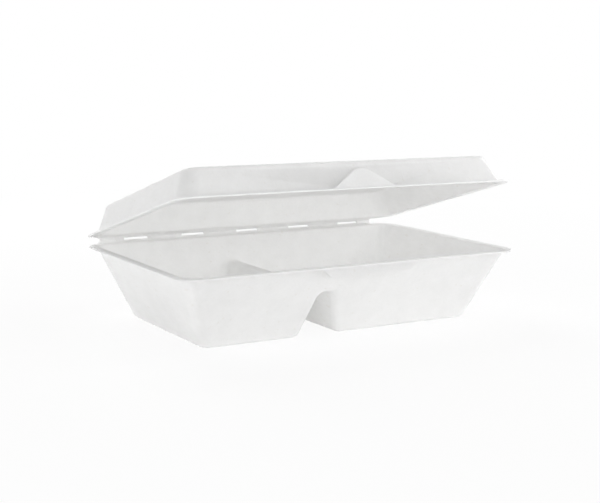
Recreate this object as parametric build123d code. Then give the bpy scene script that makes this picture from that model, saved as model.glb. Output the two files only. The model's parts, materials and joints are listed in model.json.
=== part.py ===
from build123d import *
import math
import os

# Two-compartment meal box with a folded lid, pressed from one sheet of sugar-cane pulp.
# Millimetres, +Z up, front towards -Y, fold along X at the back.
# The tray stands on z = 0 and the lid is open as on the counter.

# Rim and sheet, shared by both halves
rim_width = 240.0
rim_depth = 149.0
rim_corner = 12.5
rim_sheet = 1.2
rim_overhang = 4.8
rim_roll = 2.0
sheet = 1.0
overrun = 4.0
snug = 0.01

# Tray: height, wall slopes and rounding
tray_height = 46.0
tray_floor_inset_x = 23.6
tray_floor_inset_y = 23.2
tray_corner = 9.0
tray_floor_round = 6.0

# Divider between the small left tub and the large right tub, a groove from outside
divider_x = -18.0
divider_drop = 16.5
groove_floor_width = 25.5
groove_top_width = 8.5
groove_top_round = 3.5
groove_mouth_round = 7.0
groove_mouth_turn_deg = 30.0

# Lid: height, wall slopes and rounding
lid_height = 19.2
lid_top_inset_x = 12.6
lid_top_inset_y = 9.0
lid_corner = 10.5
lid_top_round = 3.5

# Rounded fold at the back with its row of slits
fold_gap = 3.4
fold_round = 1.2
fold_back_round = 1.0
fold_clearance = 0.3
fold_left_inset = 11.0
fold_right_inset = 17.0
slit_count = 5
slit_pitch = 41.8
slit_length = 17.0
slit_height = 2.2

# Closing lug in the lid's front wall and closing lip under the tray's front rim
closure_x = 4.5
lug_half_width = 26.0
lug_height = 12.5
lug_setback = 0.7
lug_lean_deg = 12.0
lug_round = 1.0
lug_bend_share = 0.7
lip_top_width = 67.0
lip_foot_width = 56.0
lip_height = 5.8
lip_corner = 2.0

# How far the lid stands open
lid_open_deg = 16.0

# Places worked out from the sizes
lid_open = math.radians(lid_open_deg)
fold_rise = fold_gap / 2 + rim_sheet - fold_back_round
fold_inset = fold_clearance / 2 + fold_back_round
fold_reach = fold_rise * math.sin(lid_open) + fold_inset * (1 - math.cos(lid_open))
middle_y = -fold_reach / 2
front_y = middle_y - rim_depth / 2
back_y = middle_y + rim_depth / 2
rim_under_z = tray_height - rim_sheet
ridge_z = tray_height - divider_drop
groove_z = ridge_z - sheet
fold_left = fold_left_inset - rim_width / 2
fold_right = rim_width / 2 - fold_right_inset
notch_length = fold_gap + rim_corner
axis_y = back_y + fold_clearance / 2
axis_z = tray_height + fold_gap / 2
lid_rim_z = tray_height + fold_gap
lid_top_z = lid_rim_z + lid_height


def between(low, high, share):
    """Value at a share of the way from low to high."""
    return low + (high - low) * share


def outline(z):
    """The rim's rounded outline, level at height z."""
    return Pos(0, middle_y, z) * RectangleRounded(rim_width, rim_depth, rim_corner)


def leaning_prism(plane, low_half, low_z, high_half, high_z):
    """Long bar with two leaning sides, level with the rim's middle."""
    corners = [(-low_half, low_z), (low_half, low_z), (high_half, high_z), (-high_half, high_z)]
    return extrude(plane * Polygon(*corners, align=None), rim_width, both=True)


def drafted_block(halves_at, low_z, high_z, corner):
    """Block with four flat leaning walls and rounded corners, from the half sizes that each height has."""
    low_x, low_y = halves_at(low_z)
    high_x, high_y = halves_at(high_z)
    block = leaning_prism(Plane.XZ, low_x, low_z, high_x, high_z)
    block &= leaning_prism(Plane.YZ, low_y, low_z, high_y, high_z)
    return Pos(0, middle_y, 0) * fillet(block.edges().group_by(Axis.Z)[1], corner)


def tray_halves(z, inner):
    """Half sizes of the tray's sloping walls at height z, drawn in by inner."""
    share = z / tray_height
    inset_x = between(tray_floor_inset_x, rim_overhang, share) + inner
    inset_y = between(tray_floor_inset_y, rim_overhang, share) + inner
    return rim_width / 2 - inset_x, rim_depth / 2 - inset_y


def lid_halves(z, inner):
    """Half sizes of the lid's sloping walls at height z, drawn in by inner."""
    share = (z - lid_rim_z) / lid_height
    inset_x = between(rim_overhang, lid_top_inset_x, share) + inner
    inset_y = between(rim_overhang, lid_top_inset_y, share) + inner
    return rim_width / 2 - inset_x, rim_depth / 2 - inset_y


def groove_half(z):
    """Half the groove's width at height z."""
    return between(groove_floor_width, groove_top_width, z / groove_z) / 2


def divider(top_z, spread):
    """Tapered bar with a rounded crown along Y that parts the tubs, wider on each side by spread."""
    foot = groove_half(-overrun) + spread
    crown = groove_half(top_z) + spread
    profile = Polygon((-foot, -overrun), (foot, -overrun), (crown, top_z), (-crown, top_z), align=None)
    profile = fillet(profile.vertices().group_by(Axis.Y)[-1], groove_top_round + spread)
    bar = extrude(Plane.XZ * profile, rim_depth, both=True)
    return Pos(divider_x, 0, 0) * bar


def is_mouth(edge, floor_z, top_z):
    """True for an edge where the divider's bar breaks through the front or back wall."""
    middle = edge.position_at(0.5)
    near = abs(middle.X - divider_x) < groove_half(0) + sheet + overrun
    level = floor_z < middle.Z - sheet / 2 and middle.Z < top_z - sheet / 2
    across = abs(edge.tangent_at(0.5).Y) < math.cos(math.radians(groove_mouth_turn_deg))
    return near and level and across


def tray_form(inner, floor_z, top_z, crown_z):
    """The two tubs as one solid form, from the floor up, with every corner rounded."""
    form = drafted_block(lambda z: tray_halves(z, inner), floor_z, top_z, tray_corner - inner)
    form -= divider(crown_z, inner)
    mouths = form.edges().filter_by(lambda edge: is_mouth(edge, floor_z, top_z))
    form = fillet(mouths, groove_mouth_round - inner)
    return fillet(form.edges().group_by(Axis.Z)[0], tray_floor_round - inner)


def lid_form(inner, low_z, top_z):
    """The lid's flat-topped dome as one solid form, with every corner rounded."""
    form = drafted_block(lambda z: lid_halves(z, inner), low_z, top_z, lid_corner - inner)
    return fillet(form.edges().group_by(Axis.Z)[-1], lid_top_round - inner)


def is_inside_rim(edge):
    """True for an edge that lies further in than the rim's overhang."""
    middle = edge.position_at(0.5)
    inset_x = rim_width / 2 - abs(middle.X)
    inset_y = rim_depth / 2 - abs(middle.Y - middle_y)
    return min(inset_x, inset_y) > rim_overhang


def wall_edges(body, z):
    """Edges at height z where the wall meets the rim."""
    level = body.edges().filter_by_position(Axis.Z, z - snug, z + snug)
    return level.filter_by(is_inside_rim)


def fold_half(rim_z, tip_z):
    """Upright half of the fold along the rim's back edge, from the rim's sheet to the tip."""
    low = min(rim_z, tip_z)
    high = max(rim_z, tip_z)
    length = fold_right - fold_left + fold_gap
    strip = Box(length, rim_sheet, high - low, align=(Align.CENTER, Align.MAX, Align.MIN))
    strip = Pos((fold_left + fold_right) / 2, back_y, low) * strip
    return strip & extrude(outline(low), high - low)


def slit(middle_x, length, height):
    """Round-ended slit through the fold."""
    slot = extrude(Plane.XZ * SlotOverall(length, height), overrun, both=True)
    return Pos(middle_x, back_y, axis_z) * slot


def fold_cuts():
    """Row of slits along the fold, and the round-ended notches beyond its two ends."""
    places = GridLocations(slit_pitch, 0, slit_count, 1)
    row = [slit(place.position.X, slit_length, slit_height) for place in places]
    left = slit(fold_left - notch_length / 2, notch_length, fold_gap)
    right = slit(fold_right + notch_length / 2, notch_length, fold_gap)
    return [left, *row, right]


def edge_along_fold(body, y, z):
    """Edges of the fold that run along X at the given place."""
    along = body.edges().filter_by(Axis.X)
    return along.filter_by_position(Axis.Y, y - snug, y + snug).filter_by_position(Axis.Z, z - snug, z + snug)


def fold_back_cut(centre_z, rise):
    """Bar that rounds the fold's outer corner, about the rounding's centre and towards its outside."""
    reach = fold_back_round + overrun
    corner = Rectangle(reach, reach, align=(Align.MIN, rise)) - Circle(fold_back_round)
    bar = extrude(Plane.YZ * corner, rim_width / 2, both=True)
    return Pos(0, back_y - fold_back_round, centre_z) * bar


def round_fold(body, rim_face_z, rim_back_z):
    """Round the fold: its inner corner on the rim's face and its outer corner behind."""
    body = fillet(edge_along_fold(body, back_y - rim_sheet, rim_face_z), fold_round)
    if rim_back_z < rim_face_z:
        return body - fold_back_cut(rim_back_z + fold_back_round, Align.MAX)
    return body - fold_back_cut(rim_back_z - fold_back_round, Align.MIN)


def closing_lip():
    """Short turned-down lip under the middle of the tray's front rim."""
    top = lip_top_width / 2
    foot = lip_foot_width / 2
    foot_z = tray_height - lip_height
    profile = Polygon((-foot, foot_z), (foot, foot_z), (top, rim_under_z), (-top, rim_under_z), align=None)
    profile = fillet(profile.vertices().group_by(Axis.Y)[0], lip_corner)
    return Pos(closure_x, front_y, 0) * extrude(Plane.XZ * profile, -sheet)


def bell_bend(half_width, height):
    """Radius and turn of a bell's bends, the radius as a share of the one that leaves no straight flank."""
    bend = lug_bend_share * (half_width**2 + height**2) / (4 * height)
    drop = 2 * bend - height
    turn = math.asin(2 * bend / math.hypot(half_width, drop)) - math.atan2(drop, half_width)
    return bend, math.degrees(turn)


def lug(half_width, base_z, apex_z, inner):
    """Bell-shaped lug from the lid's rim, its face leaning with the wall and drawn in by inner."""
    shoulder_z = base_z + rim_sheet - inner
    right = (half_width, shoulder_z)
    bend, turn_deg = bell_bend(half_width, apex_z - shoulder_z)
    crown = JernArc((0, apex_z), (1, 0), bend, -turn_deg)
    foot = JernArc(right, (-1, 0), bend, -turn_deg)
    flank = [crown, Line(crown @ 1, foot @ 1), foot]
    base = Polyline((-half_width, shoulder_z), (-half_width, base_z), (half_width, base_z), right)
    profile = make_face([*flank, *[mirror(edge, Plane.YZ) for edge in flank], base])
    bell = extrude(Plane.XZ * profile, -lid_top_inset_y)
    lean = math.radians(lug_lean_deg)
    face = Plane((0, lug_setback + inner, lid_rim_z), z_dir=(0, -math.cos(lean), math.sin(lean)))
    bell = split(bell, face, keep=Keep.BOTTOM)
    if inner < lug_round:
        crest_edges = bell.faces().sort_by(Axis.Y)[0].edges().filter_by(GeomType.LINE, reverse=True)
        bell = fillet(crest_edges, lug_round - inner)
    return Pos(closure_x, front_y, 0) * bell


def make_tray():
    """Tray with two tubs, rim, closing lip and the lower half of the fold."""
    rim = extrude(outline(rim_under_z), rim_sheet)
    body = rim + tray_form(0, 0, tray_height, groove_z)
    body -= tray_form(sheet, sheet, tray_height + overrun, ridge_z)
    body = fillet(wall_edges(body, tray_height), rim_roll)
    body = fillet(wall_edges(body, rim_under_z), rim_roll - sheet / 2)
    body += closing_lip()
    body += fold_half(rim_under_z, axis_z - fold_clearance / 2)
    body = round_fold(body, tray_height, rim_under_z)
    for cut in fold_cuts():
        body -= cut
    return body


def make_lid():
    """Lid with a flat-topped dome, rim, closing lug and the upper half of the fold, shut and level."""
    rim = extrude(outline(lid_rim_z), rim_sheet)
    dome = lid_form(0, lid_rim_z, lid_top_z)
    hollow = lid_form(sheet, lid_rim_z - overrun, lid_top_z - sheet)
    apex_z = lid_rim_z + rim_sheet + lug_height
    body = rim + dome - hollow
    body = fillet(wall_edges(body, lid_rim_z), rim_roll)
    body = fillet(wall_edges(body, lid_rim_z + rim_sheet), rim_roll - sheet / 2)
    body += lug(lug_half_width, lid_rim_z, apex_z, 0) - hollow
    body -= lug(lug_half_width - sheet, lid_rim_z, apex_z - sheet, sheet)
    body += fold_half(lid_rim_z + rim_sheet, axis_z + fold_clearance / 2)
    body = round_fold(body, lid_rim_z, lid_rim_z + rim_sheet)
    for cut in fold_cuts():
        body -= cut
    return body


fold_axis = Axis((0, axis_y, axis_z), (-1, 0, 0))
nodes = {
    "tray": make_tray(),
    "lid": make_lid().rotate(fold_axis, lid_open_deg),
}

os.makedirs("parts", exist_ok=True)
for name, shape in nodes.items():
    export_step(shape, os.path.join("parts", name + ".step"))

print("fold axis y, z:", axis_y, axis_z)
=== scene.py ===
"""Looks of a two-compartment meal box pressed from one sheet of sugar-cane pulp.

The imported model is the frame: metres, +Z up, front towards -Y, fold along X at the back.
"""

import json
import logging
import math
from dataclasses import dataclass
from enum import Enum

import bpy
from mathutils import Matrix, Vector


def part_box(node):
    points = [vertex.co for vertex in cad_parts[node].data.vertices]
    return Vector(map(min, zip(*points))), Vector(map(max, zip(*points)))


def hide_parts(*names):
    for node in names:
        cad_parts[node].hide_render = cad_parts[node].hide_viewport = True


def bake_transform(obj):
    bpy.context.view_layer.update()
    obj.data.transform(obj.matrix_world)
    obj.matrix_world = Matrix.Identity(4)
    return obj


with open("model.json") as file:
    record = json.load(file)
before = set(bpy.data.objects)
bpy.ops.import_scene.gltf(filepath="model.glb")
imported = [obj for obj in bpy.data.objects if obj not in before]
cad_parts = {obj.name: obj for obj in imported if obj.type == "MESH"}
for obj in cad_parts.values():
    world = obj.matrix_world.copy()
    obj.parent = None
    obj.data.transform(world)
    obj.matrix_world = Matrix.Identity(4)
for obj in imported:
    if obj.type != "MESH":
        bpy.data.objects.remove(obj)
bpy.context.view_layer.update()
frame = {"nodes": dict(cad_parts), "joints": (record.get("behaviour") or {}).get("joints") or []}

log = logging.getLogger("meal_box")
MM = 0.001
FOLD = Vector(frame["joints"][0]["pos_m"])
LID_OPEN_DEG = 16.0

Triple = tuple[float, float, float]
Value = bpy.types.NodeSocket | float


class Half(Enum):
    """The two halves of the moulded sheet, by the name of node and body."""

    TRAY = "tray"
    LID = "lid"


class Finish(Enum):
    """Names of the finishes."""

    PULP = "pressed_pulp"
    FLOOR = "white_table"


def deselect_all() -> None:
    """Clear the selection, so that an operator acts on new pieces only."""
    bpy.ops.object.select_all(action="DESELECT")


def make_active(piece: bpy.types.Object) -> None:
    """Select one piece alone and make it the active one.

    Args:
        piece: The piece that the next operator acts on.
    """
    deselect_all()
    piece.select_set(True)
    bpy.context.view_layer.objects.active = piece


def select_only(
    mesh: bpy.types.Mesh,
    vertices: list[bool] | None = None,
    edges: list[bool] | None = None,
    faces: list[bool] | None = None,
) -> None:
    """Select some of a mesh's parts and no others.

    Args:
        mesh: The mesh, out of edit mode.
        vertices: True or False for each vertex.
        edges: True or False for each edge.
        faces: True or False for each face.
    """
    for part, wanted in ((mesh.vertices, vertices), (mesh.edges, edges), (mesh.polygons, faces)):
        part.foreach_set("select", wanted or [False] * len(part))


def heading(azimuth_deg: float, elevation_deg: float) -> Vector:
    """Give the direction from the box towards a viewer or a lamp.

    Args:
        azimuth_deg: Turn from the front, towards +X.
        elevation_deg: Height above the table.

    Returns:
        A vector of length 1.
    """
    azimuth = math.radians(azimuth_deg)
    elevation = math.radians(elevation_deg)
    return Vector((
        math.sin(azimuth) * math.cos(elevation),
        -math.cos(azimuth) * math.cos(elevation),
        math.sin(elevation),
    ))


def folded(place: Vector, turn_deg: float) -> Vector:
    """Turn a point of the lid about the fold's axis.

    Args:
        place: The point before.
        turn_deg: How far the lid opens; less than 0 shuts it.

    Returns:
        The point after.
    """
    return Matrix.Rotation(math.radians(-turn_deg), 3, "X") @ (place - FOLD) + FOLD


def feed(tree: bpy.types.NodeTree, value: Value, socket: bpy.types.NodeSocket) -> None:
    """Link a socket to an input, or set the input to a number.

    Args:
        tree: The node tree of both.
        value: A socket or a number.
        socket: The input that takes it.
    """
    if isinstance(value, bpy.types.NodeSocket):
        tree.links.new(value, socket)
    else:
        socket.default_value = value


def add_socket(
    group: bpy.types.NodeTree,
    name: str,
    kind: str,
    outward: bool = False,
    value: float | None = None,
) -> None:
    """Add a named socket to a node group.

    Args:
        group: The node group.
        name: The socket's name.
        kind: Float, Vector or Color.
        outward: True for an output.
        value: The default of an input, where it has one.
    """
    socket = group.interface.new_socket(
        name=name, in_out="OUTPUT" if outward else "INPUT", socket_type=f"NodeSocket{kind}"
    )
    if value is not None:
        socket.default_value = value


def math_node(
    tree: bpy.types.NodeTree, operation: str, first: Value, second: Value, clamp: bool = False
) -> bpy.types.NodeSocket:
    """Add a Math node.

    Args:
        tree: The node tree that it goes into.
        operation: Blender's name of the operation.
        first: A socket or a number.
        second: A socket or a number.
        clamp: True to keep the result from 0 to 1.

    Returns:
        The node's output.
    """
    node = tree.nodes.new("ShaderNodeMath")
    node.operation = operation
    node.use_clamp = clamp
    feed(tree, first, node.inputs[0])
    feed(tree, second, node.inputs[1])
    return node.outputs[0]


@dataclass(frozen=True)
class Grain:
    """One Noise Texture: how it is turned, stretched and broken up."""

    detail: float
    roughness: float
    turn_deg: Triple | None = None
    stretch: Triple = (1.0, 1.0, 1.0)

    def build(
        self, tree: bpy.types.NodeTree, vector: bpy.types.NodeSocket, scale: bpy.types.NodeSocket
    ) -> bpy.types.NodeSocket:
        """Add the texture, and before it a Mapping node where the grain is turned.

        Args:
            tree: The node tree that it goes into.
            vector: Where the texture is read.
            scale: Features per metre.

        Returns:
            The noise as a value from 0 to 1.
        """
        if self.turn_deg is not None:
            mapping = tree.nodes.new("ShaderNodeMapping")
            tree.links.new(vector, mapping.inputs["Vector"])
            turns = [math.radians(turn) for turn in self.turn_deg]
            mapping.inputs["Rotation"].default_value = turns
            mapping.inputs["Scale"].default_value = self.stretch
            vector = mapping.outputs["Vector"]
        node = tree.nodes.new("ShaderNodeTexNoise")
        tree.links.new(vector, node.inputs["Vector"])
        tree.links.new(scale, node.inputs["Scale"])
        node.inputs["Detail"].default_value = self.detail
        node.inputs["Roughness"].default_value = self.roughness
        return node.outputs["Fac"]


@dataclass(frozen=True)
class MattedFibres:
    """Short fibres that lie across each other, as a node group."""

    fibres_per_metre: float = 700.0
    detail: float = 2.0
    roughness: float = 0.55
    stretch: Triple = (1.0, 0.16, 1.0)
    turns_deg: tuple[Triple, ...] = ((0, 0, 20), (65, 0, 80), (0, 70, 140), (40, 35, 200))

    def build(self) -> bpy.types.NodeTree:
        """Build the group.

        Returns:
            A node group with the inputs Vector and Fibres, and the output Height.
        """
        group = bpy.data.node_groups.new("matted_fibres", "ShaderNodeTree")
        add_socket(group, "Vector", "Vector")
        add_socket(group, "Fibres", "Float", value=self.fibres_per_metre)
        add_socket(group, "Height", "Float", outward=True)
        start = group.nodes.new("NodeGroupInput")
        end = group.nodes.new("NodeGroupOutput")
        total: Value = 0.0
        for turn in self.turns_deg:
            grain = Grain(self.detail, self.roughness, turn, self.stretch)
            strand = grain.build(group, start.outputs["Vector"], start.outputs["Fibres"])
            total = math_node(group, "ADD", total, strand)
        height = math_node(group, "DIVIDE", total, float(len(self.turns_deg)))
        group.links.new(height, end.inputs["Height"])
        return group


@dataclass(frozen=True)
class PulpFormation:
    """Clouds and flecks that pulp has from how its fibres settled, as a node group."""

    clouds_per_metre: float = 90.0
    flecks_per_metre: float = 420.0
    fleck_share: float = 0.1
    fleck_level: float = 0.80
    fleck_edge: float = 12.0
    cloud: Grain = Grain(4.0, 0.6)
    fleck: Grain = Grain(1.0, 0.4, (25, 40, 10), (1.0, 0.45, 1.0))

    def build(self) -> bpy.types.NodeTree:
        """Build the group.

        Returns:
            A node group with the inputs Vector, Clouds, Flecks and Fleck Share, and the outputs
            Cloud and Fleck.
        """
        group = bpy.data.node_groups.new("pulp_formation", "ShaderNodeTree")
        add_socket(group, "Vector", "Vector")
        add_socket(group, "Clouds", "Float", value=self.clouds_per_metre)
        add_socket(group, "Flecks", "Float", value=self.flecks_per_metre)
        add_socket(group, "Fleck Share", "Float", value=self.fleck_share)
        add_socket(group, "Cloud", "Float", outward=True)
        add_socket(group, "Fleck", "Float", outward=True)
        start = group.nodes.new("NodeGroupInput")
        end = group.nodes.new("NodeGroupOutput")
        cloud = self.cloud.build(group, start.outputs["Vector"], start.outputs["Clouds"])
        group.links.new(cloud, end.inputs["Cloud"])
        speck = self.fleck.build(group, start.outputs["Vector"], start.outputs["Flecks"])
        level = math_node(group, "SUBTRACT", self.fleck_level, start.outputs["Fleck Share"])
        over = math_node(group, "SUBTRACT", speck, level)
        fleck = math_node(group, "MULTIPLY", over, self.fleck_edge, clamp=True)
        group.links.new(fleck, end.inputs["Fleck"])
        return group


@dataclass(frozen=True)
class PulpFinish:
    """Matt white pressed pulp with matted fibres, soft clouds and faint straw flecks."""

    pale: Triple = (0.904, 0.903, 0.899)
    shade: Triple = (0.858, 0.857, 0.851)
    straw: Triple = (0.72, 0.69, 0.62)
    shade_below: float = 0.75
    pale_above: float = 1.25
    fleck_strength: float = 0.22
    roughness_low: float = 0.78
    roughness_high: float = 0.92
    specular: float = 0.25
    glow_share: float = 0.9
    glow_radius: Triple = (1.0, 1.0, 1.0)
    glow_depth: float = 3.0 * MM
    fibre_relief: float = 0.06 * MM
    cloud_relief: float = 0.18 * MM

    def build(self) -> bpy.types.Material:
        """Build the material.

        Returns:
            The finished material.
        """
        material = bpy.data.materials.new(Finish.PULP.value)
        material.use_nodes = True
        tree = material.node_tree
        shader = tree.nodes["Principled BSDF"]
        shader.inputs["Specular IOR Level"].default_value = self.specular
        shader.inputs["Subsurface Weight"].default_value = self.glow_share
        shader.inputs["Subsurface Radius"].default_value = self.glow_radius
        shader.inputs["Subsurface Scale"].default_value = self.glow_depth
        place = tree.nodes.new("ShaderNodeTexCoord").outputs["Object"]
        fibres = tree.nodes.new("ShaderNodeGroup")
        fibres.node_tree = MattedFibres().build()
        tree.links.new(place, fibres.inputs["Vector"])
        formation = tree.nodes.new("ShaderNodeGroup")
        formation.node_tree = PulpFormation().build()
        tree.links.new(place, formation.inputs["Vector"])
        self._colour(tree, shader, formation, fibres)
        self._surface(tree, shader, formation, fibres)
        return material

    def _colour(
        self,
        tree: bpy.types.NodeTree,
        shader: bpy.types.Node,
        formation: bpy.types.Node,
        fibres: bpy.types.Node,
    ) -> None:
        """Lay the colour from clouds, fibres and flecks.

        Args:
            tree: The material's node tree.
            shader: The Principled BSDF.
            formation: The node of clouds and flecks.
            fibres: The node of matted fibres.
        """
        both = math_node(tree, "ADD", formation.outputs["Cloud"], fibres.outputs["Height"])
        ramp = tree.nodes.new("ShaderNodeMapRange")
        ramp.inputs["From Min"].default_value = self.shade_below
        ramp.inputs["From Max"].default_value = self.pale_above
        tree.links.new(both, ramp.inputs["Value"])
        tone = self._mix(tree, ramp.outputs["Result"], self.shade, self.pale)
        strength = math_node(tree, "MULTIPLY", formation.outputs["Fleck"], self.fleck_strength)
        flecked = self._mix(tree, strength, tone, self.straw)
        tree.links.new(flecked, shader.inputs["Base Color"])

    def _surface(
        self,
        tree: bpy.types.NodeTree,
        shader: bpy.types.Node,
        formation: bpy.types.Node,
        fibres: bpy.types.Node,
    ) -> None:
        """Lay the roughness and the relief.

        Args:
            tree: The material's node tree.
            shader: The Principled BSDF.
            formation: The node of clouds and flecks.
            fibres: The node of matted fibres.
        """
        rough = tree.nodes.new("ShaderNodeMapRange")
        rough.inputs["To Min"].default_value = self.roughness_low
        rough.inputs["To Max"].default_value = self.roughness_high
        tree.links.new(fibres.outputs["Height"], rough.inputs["Value"])
        tree.links.new(rough.outputs["Result"], shader.inputs["Roughness"])
        broad = tree.nodes.new("ShaderNodeBump")
        broad.inputs["Distance"].default_value = self.cloud_relief
        tree.links.new(formation.outputs["Cloud"], broad.inputs["Height"])
        fine = tree.nodes.new("ShaderNodeBump")
        fine.inputs["Distance"].default_value = self.fibre_relief
        tree.links.new(fibres.outputs["Height"], fine.inputs["Height"])
        tree.links.new(broad.outputs["Normal"], fine.inputs["Normal"])
        tree.links.new(fine.outputs["Normal"], shader.inputs["Normal"])

    @staticmethod
    def _mix(
        tree: bpy.types.NodeTree,
        share: bpy.types.NodeSocket,
        first: bpy.types.NodeSocket | Triple,
        second: Triple,
    ) -> bpy.types.NodeSocket:
        """Mix two colours.

        Args:
            tree: The material's node tree.
            share: The second colour's share.
            first: A socket or a colour.
            second: A colour.

        Returns:
            The mixed colour.
        """
        node = tree.nodes.new("ShaderNodeMix")
        node.data_type = "RGBA"
        tree.links.new(share, node.inputs["Factor"])
        # The node has an A, a B and a Result for each kind of data, under the same names.
        before, after = [socket for socket in node.inputs if socket.type == "RGBA"]
        feed(tree, first if isinstance(first, bpy.types.NodeSocket) else (*first, 1.0), before)
        feed(tree, (*second, 1.0), after)
        return next(socket for socket in node.outputs if socket.type == "RGBA")


@dataclass(frozen=True)
class TableFinish:
    """White table that the camera sees as white, and that keeps a faint shadow."""

    colour: Triple = (0.9, 0.9, 0.9)
    glow: float = 0.1
    white: float = 1.0
    near_share: float = 0.88
    near: float = 0.16
    far: float = 0.75

    def build(self) -> bpy.types.Material:
        """Build the material.

        Returns:
            The finished material.
        """
        material = bpy.data.materials.new(Finish.FLOOR.value)
        material.use_nodes = True
        tree = material.node_tree
        tree.nodes.clear()
        matt = tree.nodes.new("ShaderNodeBsdfDiffuse")
        matt.inputs["Color"].default_value = (*self.colour, 1.0)
        glow = tree.nodes.new("ShaderNodeEmission")
        glow.inputs["Strength"].default_value = self.glow
        lit = tree.nodes.new("ShaderNodeAddShader")
        tree.links.new(matt.outputs[0], lit.inputs[0])
        tree.links.new(glow.outputs[0], lit.inputs[1])
        white = tree.nodes.new("ShaderNodeEmission")
        white.inputs["Strength"].default_value = self.white
        mix = tree.nodes.new("ShaderNodeMixShader")
        tree.links.new(self._white_share(tree), mix.inputs["Fac"])
        tree.links.new(lit.outputs[0], mix.inputs[1])
        tree.links.new(white.outputs[0], mix.inputs[2])
        out = tree.nodes.new("ShaderNodeOutputMaterial")
        tree.links.new(mix.outputs[0], out.inputs["Surface"])
        return material

    def _white_share(self, tree: bpy.types.NodeTree) -> bpy.types.NodeSocket:
        """Let the camera see less of the shadow the farther it lies from the box.

        Args:
            tree: The material's node tree.

        Returns:
            The share of plain white, which is 0 for all rays but the camera's.
        """
        reach = tree.nodes.new("ShaderNodeVectorMath")
        reach.operation = "LENGTH"
        tree.links.new(tree.nodes.new("ShaderNodeTexCoord").outputs["Object"], reach.inputs[0])
        fade = tree.nodes.new("ShaderNodeMapRange")
        fade.inputs["From Min"].default_value = self.near
        fade.inputs["From Max"].default_value = self.far
        fade.inputs["To Min"].default_value = self.near_share
        fade.interpolation_type = "SMOOTHSTEP"
        tree.links.new(reach.outputs["Value"], fade.inputs["Value"])
        path = tree.nodes.new("ShaderNodeLightPath")
        return math_node(tree, "MULTIPLY", path.outputs["Is Camera Ray"], fade.outputs["Result"])


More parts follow.
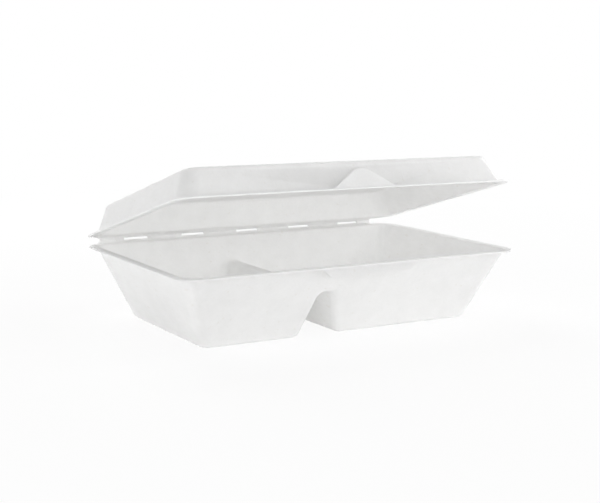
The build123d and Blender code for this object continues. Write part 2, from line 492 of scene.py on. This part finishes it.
@dataclass
class PulpSheet:
    """The moulded sheet: the tray, the lid and the slit fold between them in one piece."""

    merge: float = 0.002 * MM
    near: float = 0.02 * MM
    flat_deg: float = 0.5
    sharp_deg: float = 60.0
    smooth_deg: float = 35.0
    rim_corner: float = 12.5 * MM
    rim_sheet: float = 1.2 * MM
    rim_gap: float = 1.7 * MM
    edge_round: float = 0.42 * MM
    edge_segments: int = 3
    fold_tip: float = 0.15 * MM
    fold_rings: int = 3
    fold_reach: float = 3.0 * MM
    slit_count: int = 5
    slit_pitch: float = 41.8 * MM
    slit_length: float = 17.0 * MM
    slit_height: float = 2.2 * MM
    slit_share: float = 0.55

    def build(self, finish: bpy.types.Material) -> bpy.types.Object:
        """Make the sheet from the frame's own forms and dress it.

        Args:
            finish: The pulp's material.

        Returns:
            The sheet, which stands for both nodes, whose own meshes are hidden.
        """
        halves = [self._half(half) for half in Half]
        deselect_all()
        for half in halves:
            half.select_set(True)
        sheet = halves[0]
        bpy.context.view_layer.objects.active = sheet
        bpy.ops.object.join()
        sheet.name = "box_sheet"
        self._close_fold(sheet)
        for half in Half:
            self._narrow_slits(sheet, half)
        bpy.ops.object.mode_set(mode="EDIT")
        bpy.ops.mesh.select_all(action="SELECT")
        bpy.ops.mesh.quads_convert_to_tris()
        bpy.ops.object.mode_set(mode="OBJECT")
        bpy.ops.object.shade_smooth_by_angle(angle=math.radians(self.smooth_deg))
        sheet.data.materials.clear()
        sheet.data.materials.append(finish)
        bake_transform(sheet)
        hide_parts(Half.TRAY.value, Half.LID.value)
        return sheet

    def _half(self, half: Half) -> bpy.types.Object:
        """Copy one node, merge its facets and round the cut edges all along its rim.

        Args:
            half: Which node.

        Returns:
            The copy.
        """
        make_active(frame["nodes"][half.value])
        bpy.ops.object.duplicate()
        copy = bpy.context.view_layer.objects.active
        copy.parent = None
        for key in list(copy.keys()):
            del copy[key]
        bpy.ops.object.mode_set(mode="EDIT")
        bpy.ops.mesh.select_all(action="SELECT")
        bpy.ops.mesh.remove_doubles(threshold=self.merge)
        bpy.ops.mesh.dissolve_limited(angle_limit=math.radians(self.flat_deg))
        bpy.ops.mesh.select_mode(type="EDGE")
        bpy.ops.mesh.select_all(action="DESELECT")
        bpy.ops.mesh.edges_select_sharp(sharpness=math.radians(self.sharp_deg))
        bpy.ops.object.mode_set(mode="OBJECT")
        mesh = copy.data
        low, high = map(Vector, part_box(Half.TRAY.value))
        middle, sizes = (low + high) / 2, (high - low) / 2
        rim = [self._on_rim(self._shut(vertex.co, half), middle, sizes) for vertex in mesh.vertices]
        chosen = [edge.select and all(rim[end] for end in edge.vertices) for edge in mesh.edges]
        select_only(mesh, edges=chosen)
        bpy.ops.object.mode_set(mode="EDIT")
        bpy.ops.mesh.bevel(
            offset=self.edge_round, segments=self.edge_segments, clamp_overlap=False
        )
        bpy.ops.object.mode_set(mode="OBJECT")
        return copy

    @staticmethod
    def _shut(place: Vector, half: Half) -> Vector:
        """Give a point of one half where it lies with the lid shut.

        Args:
            place: The point at rest.
            half: The half that it belongs to.

        Returns:
            The point with the lid shut.
        """
        return place if half is Half.TRAY else folded(place, -LID_OPEN_DEG)

    def _on_rim(self, place: Vector, middle: Vector, sizes: Vector) -> bool:
        """Tell whether a point lies on the rim's cut edge.

        Args:
            place: A point with the lid shut.
            middle: The middle of the rim's outline.
            sizes: Half the outline's sizes.

        Returns:
            True on the rim's outline, on one of its two faces.
        """
        out_x = max(abs(place.x - middle.x) - sizes.x + self.rim_corner, 0.0)
        out_y = max(abs(place.y - middle.y) - sizes.y + self.rim_corner, 0.0)
        outline = abs(math.hypot(out_x, out_y) - self.rim_corner) < self.near
        rise = abs(place.z - FOLD.z) - self.rim_gap
        return outline and min(abs(rise), abs(rise - self.rim_sheet)) < self.near

    def _close_fold(self, sheet: bpy.types.Object) -> None:
        """Join the two halves of the fold between its slits.

        Args:
            sheet: The joined halves.
        """
        mesh = sheet.data
        tips = (FOLD.z - self.fold_tip, FOLD.z + self.fold_tip)
        on_tip = [
            any(
                abs(self._shut(vertex.co, half).z - tip) < self.near
                for half, tip in zip(Half, tips)
            )
            for vertex in mesh.vertices
        ]
        ends = [all(on_tip[corner] for corner in face.vertices) for face in mesh.polygons]
        select_only(mesh, faces=ends)
        bpy.ops.object.mode_set(mode="EDIT")
        bpy.ops.mesh.delete(type="FACE")
        bpy.ops.mesh.select_mode(type="EDGE")
        bpy.ops.mesh.select_all(action="DESELECT")
        bpy.ops.mesh.select_non_manifold(
            use_wire=False, use_multi_face=False, use_non_contiguous=False, use_verts=False
        )
        bpy.ops.mesh.bridge_edge_loops(
            type="PAIRS", number_cuts=self.fold_rings, interpolation="LINEAR"
        )
        bpy.ops.object.mode_set(mode="OBJECT")

    def _narrow_slits(self, sheet: bpy.types.Object, half: Half) -> None:
        """Draw one half of the slits' edges nearer to the fold's axis.

        Args:
            sheet: The sheet.
            half: The half whose edges are drawn in.
        """
        first = -(self.slit_count - 1) / 2 * self.slit_pitch
        slits = [first + place * self.slit_pitch for place in range(self.slit_count)]
        reach_x = self.slit_length / 2 + self.near
        reach_z = self.slit_height / 2 + self.near
        chosen = []
        for vertex in sheet.data.vertices:
            place = self._shut(vertex.co, half) - FOLD
            own = place.z > 0.0 if half is Half.LID else place.z < 0.0
            in_slit = any(abs(place.x - slit) < reach_x for slit in slits)
            by_fold = abs(place.y) < self.fold_reach and abs(place.z) < reach_z
            chosen.append(own and in_slit and by_fold)
        select_only(sheet.data, vertices=chosen)
        # The lid's edges are drawn in along the shut lid's height: shut first, opened after.
        turn = 0.0 if half is Half.TRAY else math.radians(LID_OPEN_DEG)
        bpy.ops.object.mode_set(mode="EDIT")
        bpy.ops.mesh.select_mode(type="VERT")
        bpy.ops.transform.rotate(value=-turn, orient_axis="X", center_override=FOLD)
        bpy.ops.transform.resize(value=(1.0, 1.0, self.slit_share), center_override=FOLD)
        bpy.ops.transform.rotate(value=turn, orient_axis="X", center_override=FOLD)
        bpy.ops.object.mode_set(mode="OBJECT")


@dataclass(frozen=True)
class Softbox:
    """Square lamp, placed by its turn from the front, its height and its distance."""

    name: str
    azimuth_deg: float
    watts: float
    elevation_deg: float = 12.0
    distance: float = 1.0
    size: float = 0.6
    aim: Triple = (0.0, 0.0, 0.05)

    def build(self) -> None:
        """Hang the lamp and turn it to its aim."""
        place = heading(self.azimuth_deg, self.elevation_deg) * self.distance
        data = bpy.data.lights.new(self.name, "AREA")
        data.shape = "SQUARE"
        data.size = self.size
        data.energy = self.watts
        lamp = bpy.data.objects.new(self.name, data)
        bpy.context.scene.collection.objects.link(lamp)
        lamp.location = place
        lamp.rotation_euler = (Vector(self.aim) - place).to_track_quat("-Z", "Y").to_euler()


@dataclass
class Studio:
    """White table, white surroundings and softboxes all around."""

    table_size: float = 12.0
    diffuse_bounces: int = 16
    bounces: int = 24
    softboxes: tuple[Softbox, ...] = (
        Softbox("left_softbox", azimuth_deg=-80.0, watts=4.2),
        Softbox("front_left_softbox", azimuth_deg=-30.0, watts=2.2),
        Softbox("front_right_softbox", azimuth_deg=30.0, watts=4.3),
        Softbox("right_softbox", azimuth_deg=90.0, watts=2.4),
        Softbox("back_softbox", azimuth_deg=180.0, watts=3.3),
        Softbox("right_high_softbox", 60.0, 3.5, elevation_deg=50.0, distance=1.1),
        Softbox("back_high_softbox", 180.0, 5.6, elevation_deg=50.0, distance=1.1),
    )

    def build(self) -> None:
        """Set the table, the surroundings and the lamps."""
        deselect_all()
        bpy.ops.mesh.primitive_plane_add(size=self.table_size, location=(0.0, 0.0, 0.0))
        table = bpy.context.view_layer.objects.active
        table.name = "table"
        table.data.materials.append(TableFinish().build())
        self._surroundings()
        for softbox in self.softboxes:
            softbox.build()
        cycles = bpy.context.scene.cycles
        cycles.diffuse_bounces = self.diffuse_bounces
        cycles.max_bounces = self.bounces

    @staticmethod
    def _surroundings() -> None:
        """Show white all around, which sheds no light on matt surfaces."""
        world = bpy.data.worlds.new("white_room")
        bpy.context.scene.world = world
        world.use_nodes = True
        tree = world.node_tree
        background = tree.nodes["Background"]
        background.inputs["Color"].default_value = (1.0, 1.0, 1.0, 1.0)
        path = tree.nodes.new("ShaderNodeLightPath").outputs
        seen = math_node(tree, "ADD", path["Is Camera Ray"], path["Is Glossy Ray"], clamp=True)
        seen = math_node(tree, "ADD", seen, path["Is Transmission Ray"], clamp=True)
        tree.links.new(seen, background.inputs["Strength"])


@dataclass
class PhotoCamera:
    """Camera at the photograph's viewing angle."""

    image_width: int = 600
    focal_px: float = 1185.73
    sensor: float = 36.0
    distance: float = 0.82406
    azimuth_deg: float = -31.07
    elevation_deg: float = 9.12
    roll_deg: float = 0.63
    target: Triple = (0.02841, 0.04816, 0.03410)
    clip_start: float = 0.01
    clip_end: float = 50.0

    def build(self) -> None:
        """Make the camera and use it for the scene."""
        back = heading(self.azimuth_deg, self.elevation_deg)
        level = (-back).cross(Vector((0.0, 0.0, 1.0))).normalized()
        rise = level.cross(-back)
        roll = math.radians(self.roll_deg)
        right = level * math.cos(roll) + rise * math.sin(roll)
        up = rise * math.cos(roll) - level * math.sin(roll)
        data = bpy.data.cameras.new("photo_camera")
        data.sensor_width = self.sensor
        data.sensor_fit = "HORIZONTAL"
        data.lens = self.focal_px * self.sensor / self.image_width
        data.clip_start = self.clip_start
        data.clip_end = self.clip_end
        camera = bpy.data.objects.new("photo_camera", data)
        bpy.context.scene.collection.objects.link(camera)
        turn = Matrix((right, up, back)).transposed()
        place = Vector(self.target) + back * self.distance
        camera.matrix_world = Matrix.Translation(place) @ turn.to_4x4()
        bpy.context.scene.camera = camera


def main() -> None:
    """Build the box, the studio and the camera."""
    logging.basicConfig(level=logging.INFO, format="%(name)s: %(message)s")
    bpy.context.scene.view_settings.view_transform = "Standard"
    finish = PulpFinish().build()
    sheet = PulpSheet().build(finish)
    log.info("%s: %d faces", sheet.name, len(sheet.data.polygons))
    Studio().build()
    PhotoCamera().build()


if __name__ == "__main__":
    main()
